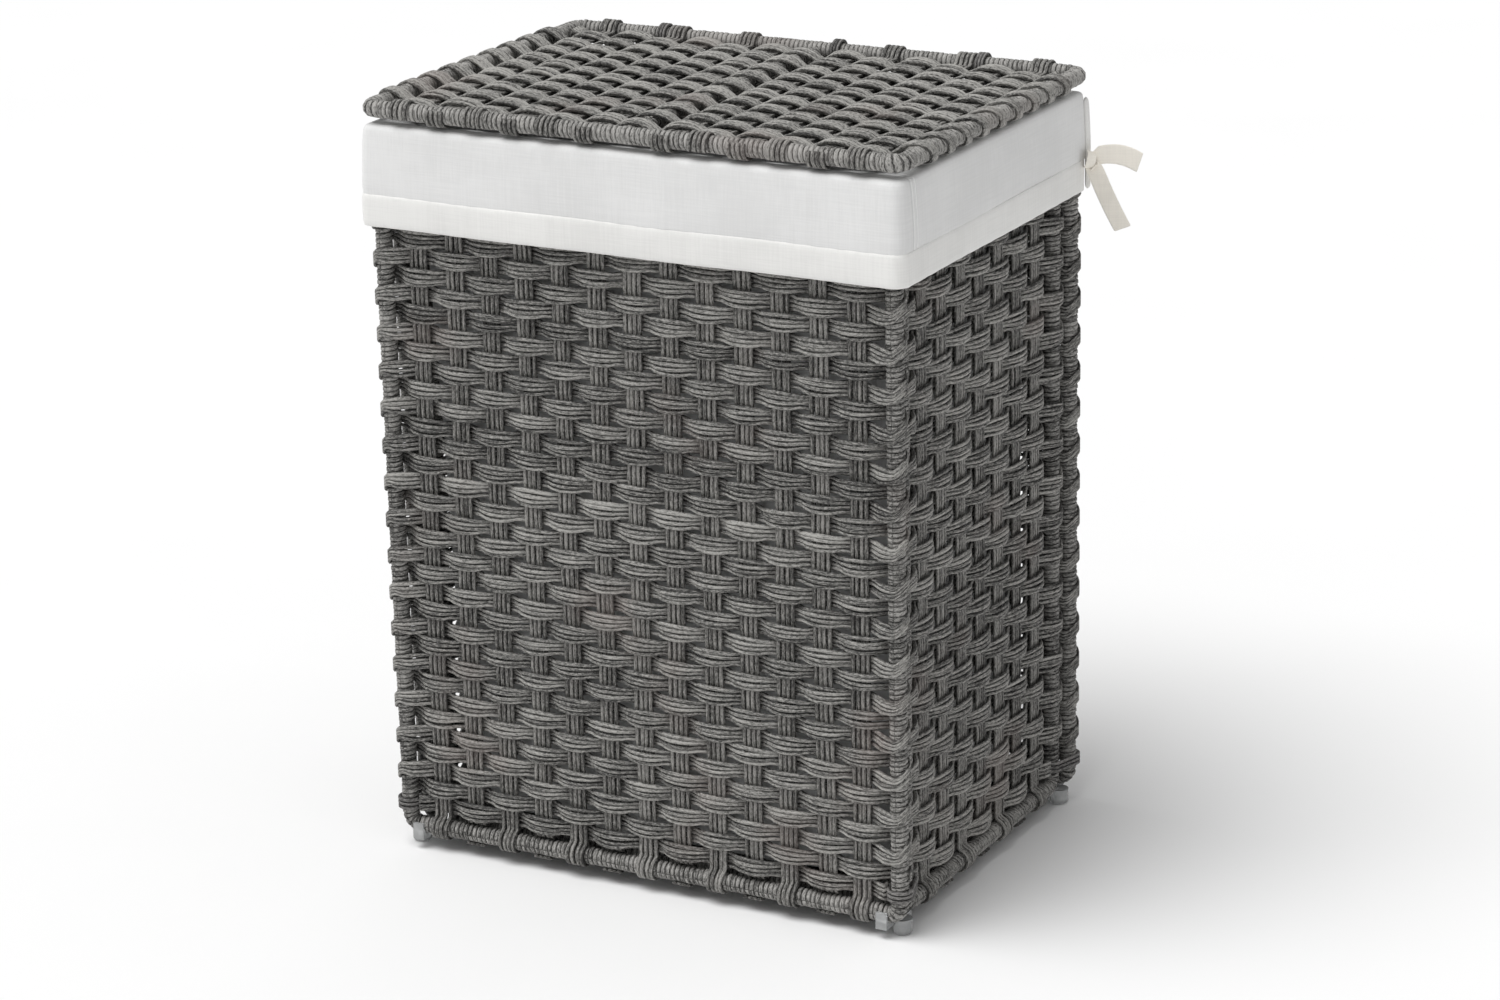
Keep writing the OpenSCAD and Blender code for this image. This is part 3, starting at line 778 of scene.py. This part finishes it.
def bag_place(u, v):
    # the bottom from its middle outwards, then up the walls, then a small turned edge
    hx, hy = G_HI[0] - 0.0006, G_HI[1] - 0.0006
    z0, z1 = G_LO[2] + 0.0005, G_HI[2]
    a = 2 * math.pi * u
    ca, sa = np.cos(a), np.sin(a)
    k = np.interp(v, [0, 0.3, 0.85, 1.0], [0.16, 0.16, 0.06, 0.05])     # corners square up towards the mouth
    sup = (np.abs(ca) ** (1 / k) + np.abs(sa) ** (1 / k)) ** (-k)
    bottom = np.clip(v / 0.25, 0, 1)
    wall = np.clip((v - 0.25) / 0.75, 0, 1)
    grow = np.where(v < 0.25, 0.942 * bottom, 0.942 + 0.058 * (1 - (1 - np.clip(wall * 8, 0, 1)) ** 2))
    fold = np.sin(3 * a + 4 * wall) + 0.7 * np.sin(5 * a - 3 * wall + 1) + 0.5 * np.sin(8 * a + 5 * wall + 2)
    sag = 0.0008 * fold * np.abs(np.sin(math.pi * wall)) ** 0.6
    pull = 0.0045 * np.sin(math.pi * wall) * (0.6 + 0.4 * np.sin(3 * a + 1))
    x = ca * (sup * (hx - pull) + sag - 0.0012) * grow
    y = sa * (sup * (hy - pull * 0.8) + sag - 0.0012) * grow
    creases = np.where(v < 0.25, 0.0006 * np.sin(9 * x / hx) * np.cos(7 * y / hy), 0)
    z = z0 + (z1 - z0 - 0.0005) * wall + creases
    return np.stack([x, y, z], 1)


bag_mesh = grid("bag_cloth", 200, 50, bag_place, True)
bag = finish_piece(bag_mesh, "bag_cloth", BAG, "body", ["liner_bag"])
solid_cloth(bag, 0.0007)


def curve(points, n=24):
    """A smooth line through a few points."""
    pts = np.array(points, float)
    pts = np.concatenate([[2 * pts[0] - pts[1]], pts, [2 * pts[-1] - pts[-2]]])
    out = []
    m = len(pts) - 3
    for t in np.linspace(0, m - 1e-6, n):
        i = int(t)
        f = t - i
        p0, p1, p2, p3 = pts[i:i + 4]
        out.append(0.5 * (2 * p1 + (p2 - p0) * f + (2 * p0 - 5 * p1 + 4 * p2 - p3) * f ** 2
                          + (3 * p1 - p0 - 3 * p2 + p3) * f ** 3))
    return np.array(out)


def unit(v):
    return v / np.linalg.norm(v, axis=-1, keepdims=True)


BINDING_LOW = 0.005       # the bound edge ends this far below the top of its CAD node
KNOT = [[-4, 3, -6], [1.5, -3, -5], [4.5, -5.5, 0], [4, -2, 5],
        [1, 3, 5.5], [3, 5.5, 1], [5, 1, -4], [5, -4, -5]]
TAIL_A = [[1, 0, 1], [8, 2, 4], [18, 8, 4.5], [27, 13, 2], [35, 18, -3]]
TAIL_B = [[1, 0, 0], [6, 0, -8], [11, 3, -22], [17, 7, -38], [24, 11, -54]]


def along_list(u, rows):
    """The place at u (0 to 1) along a list of points."""
    i = u * (len(rows) - 1)
    return np.stack([np.interp(i, np.arange(len(rows)), rows[:, k]) for k in range(3)], 1)


def binding(sx, sd):
    """The bound edge at the back end of the cuff, following the cuff's outside."""
    lo, hi = (np.array(c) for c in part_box("binding_" + sd))

    def place(u, v):
        a = 2 * math.pi * v
        z = lo[2] + (hi[2] - BINDING_LOW - lo[2]) * u
        x = sx * (CX + 0.0004 + np.interp(TOP - z, DROP, STAND))
        shut = np.sqrt(np.maximum(0, 1 - np.abs(2 * u - 1) ** 20))
        y = (lo[1] + hi[1]) / 2 + 0.0032 * np.sin(a) * shut
        return np.stack([x + 0.0021 * np.cos(a) * shut, y, z], 1)
    name = "binding_tape_" + sd
    ob = finish_piece(grid(name, 30, 14, place, True), name, TAPE, "body", ["binding_" + sd])
    solid_cloth(ob, 0.0005)


def ribbon_part(line, wide, width, sx):
    """A flat strip along a line, drawn together where it leaves the knot."""
    def place(u, v):
        pinch = np.clip(0.45 + u * 3, 0, 1)
        return (along_list(u, line) + along_list(u, wide) * ((v - 0.5) * width * pinch)[:, None]) * (sx, 1, 1)
    return grid("strip", len(line) * 2, 6, place)


def ribbon(sx, sd):
    """The tie ribbon at a back corner: a knot and two tails."""
    start = np.array([CX + 0.0040, Y_END - 0.005, H_HI[2]])
    knot, tail_a, tail_b = (curve(start + np.array(pts) * MM, n)
                            for pts, n in ((KNOT, 26), (TAIL_A, 16), (TAIL_B, 18)))
    wide_a = unit(np.linspace([0.15, 0.1, 1], [0.25, 0.3, 1], len(tail_a)))
    wide_b = unit(np.linspace([0.75, 0.1, 0.35], [0.8, 0.5, 0.3], len(tail_b)))
    wide_k = unit(np.cross(unit(np.gradient(knot, axis=0)), unit(knot - start + np.array([1e-4, 0, 0]))))
    bm = bmesh.new()
    for line, wide, width in ((knot, wide_k, 0.0075), (tail_a, wide_a, 0.0155), (tail_b, wide_b, 0.0135)):
        bm.from_mesh(ribbon_part(line, wide, width, sx))
    bmesh.ops.recalc_face_normals(bm, faces=list(bm.faces))
    name = "tie_ribbon_" + sd
    ob = finish_piece(mesh_of(bm, name), name, CREAM, "body", ["ribbon_" + sd])
    solid_cloth(ob, 0.0007)


for sx, sd in ((1, "right"), (-1, "left")):
    binding(sx, sd)
    ribbon(sx, sd)


# ---------------------------------------------------------------- kept CAD parts
for name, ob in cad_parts.items():
    mat = CLEAR if name.startswith("foot") else STEEL
    if name.startswith(("foot", "frame")) or name == "lid_bar_wire":
        ob.data.materials.clear()
        ob.data.materials.append(mat)
        ob.data.polygons.foreach_set("use_smooth", [False] * len(ob.data.polygons))


# ---------------------------------------------------------------- floor and light
def floor():
    bm = bmesh.new()
    bmesh.ops.create_grid(bm, x_segments=2, y_segments=2, size=6)
    me = bpy.data.meshes.new("floor")
    bm.to_mesh(me)
    bm.free()
    k = Look("pale floor")
    haze = k.noise(k.place(), 3.0, 2.0)
    k.set(Base_Color=k.ramp(haze, [(0.0, (0.88, 0.88, 0.88)), (1.0, (0.91, 0.91, 0.91))]), Roughness=0.7)
    me.materials.append(k.mat)
    ob = bpy.data.objects.new("floor", me)
    bpy.context.scene.collection.objects.link(ob)


floor()
sun = bpy.data.lights.new("soft key", "SUN")
sun.energy, sun.angle = 2.4, math.radians(42)
ob = bpy.data.objects.new("soft key", sun)
ob.rotation_euler = (math.radians(18), math.radians(-15), 0)
bpy.context.scene.collection.objects.link(ob)
world = bpy.data.worlds.new("studio")
bpy.context.scene.world = world
world.use_nodes = True
world.node_tree.nodes["Background"].inputs[0].default_value = (1, 1, 1, 1)
world.node_tree.nodes["Background"].inputs[1].default_value = 0.46
bpy.context.scene.view_settings.view_transform = "Standard"
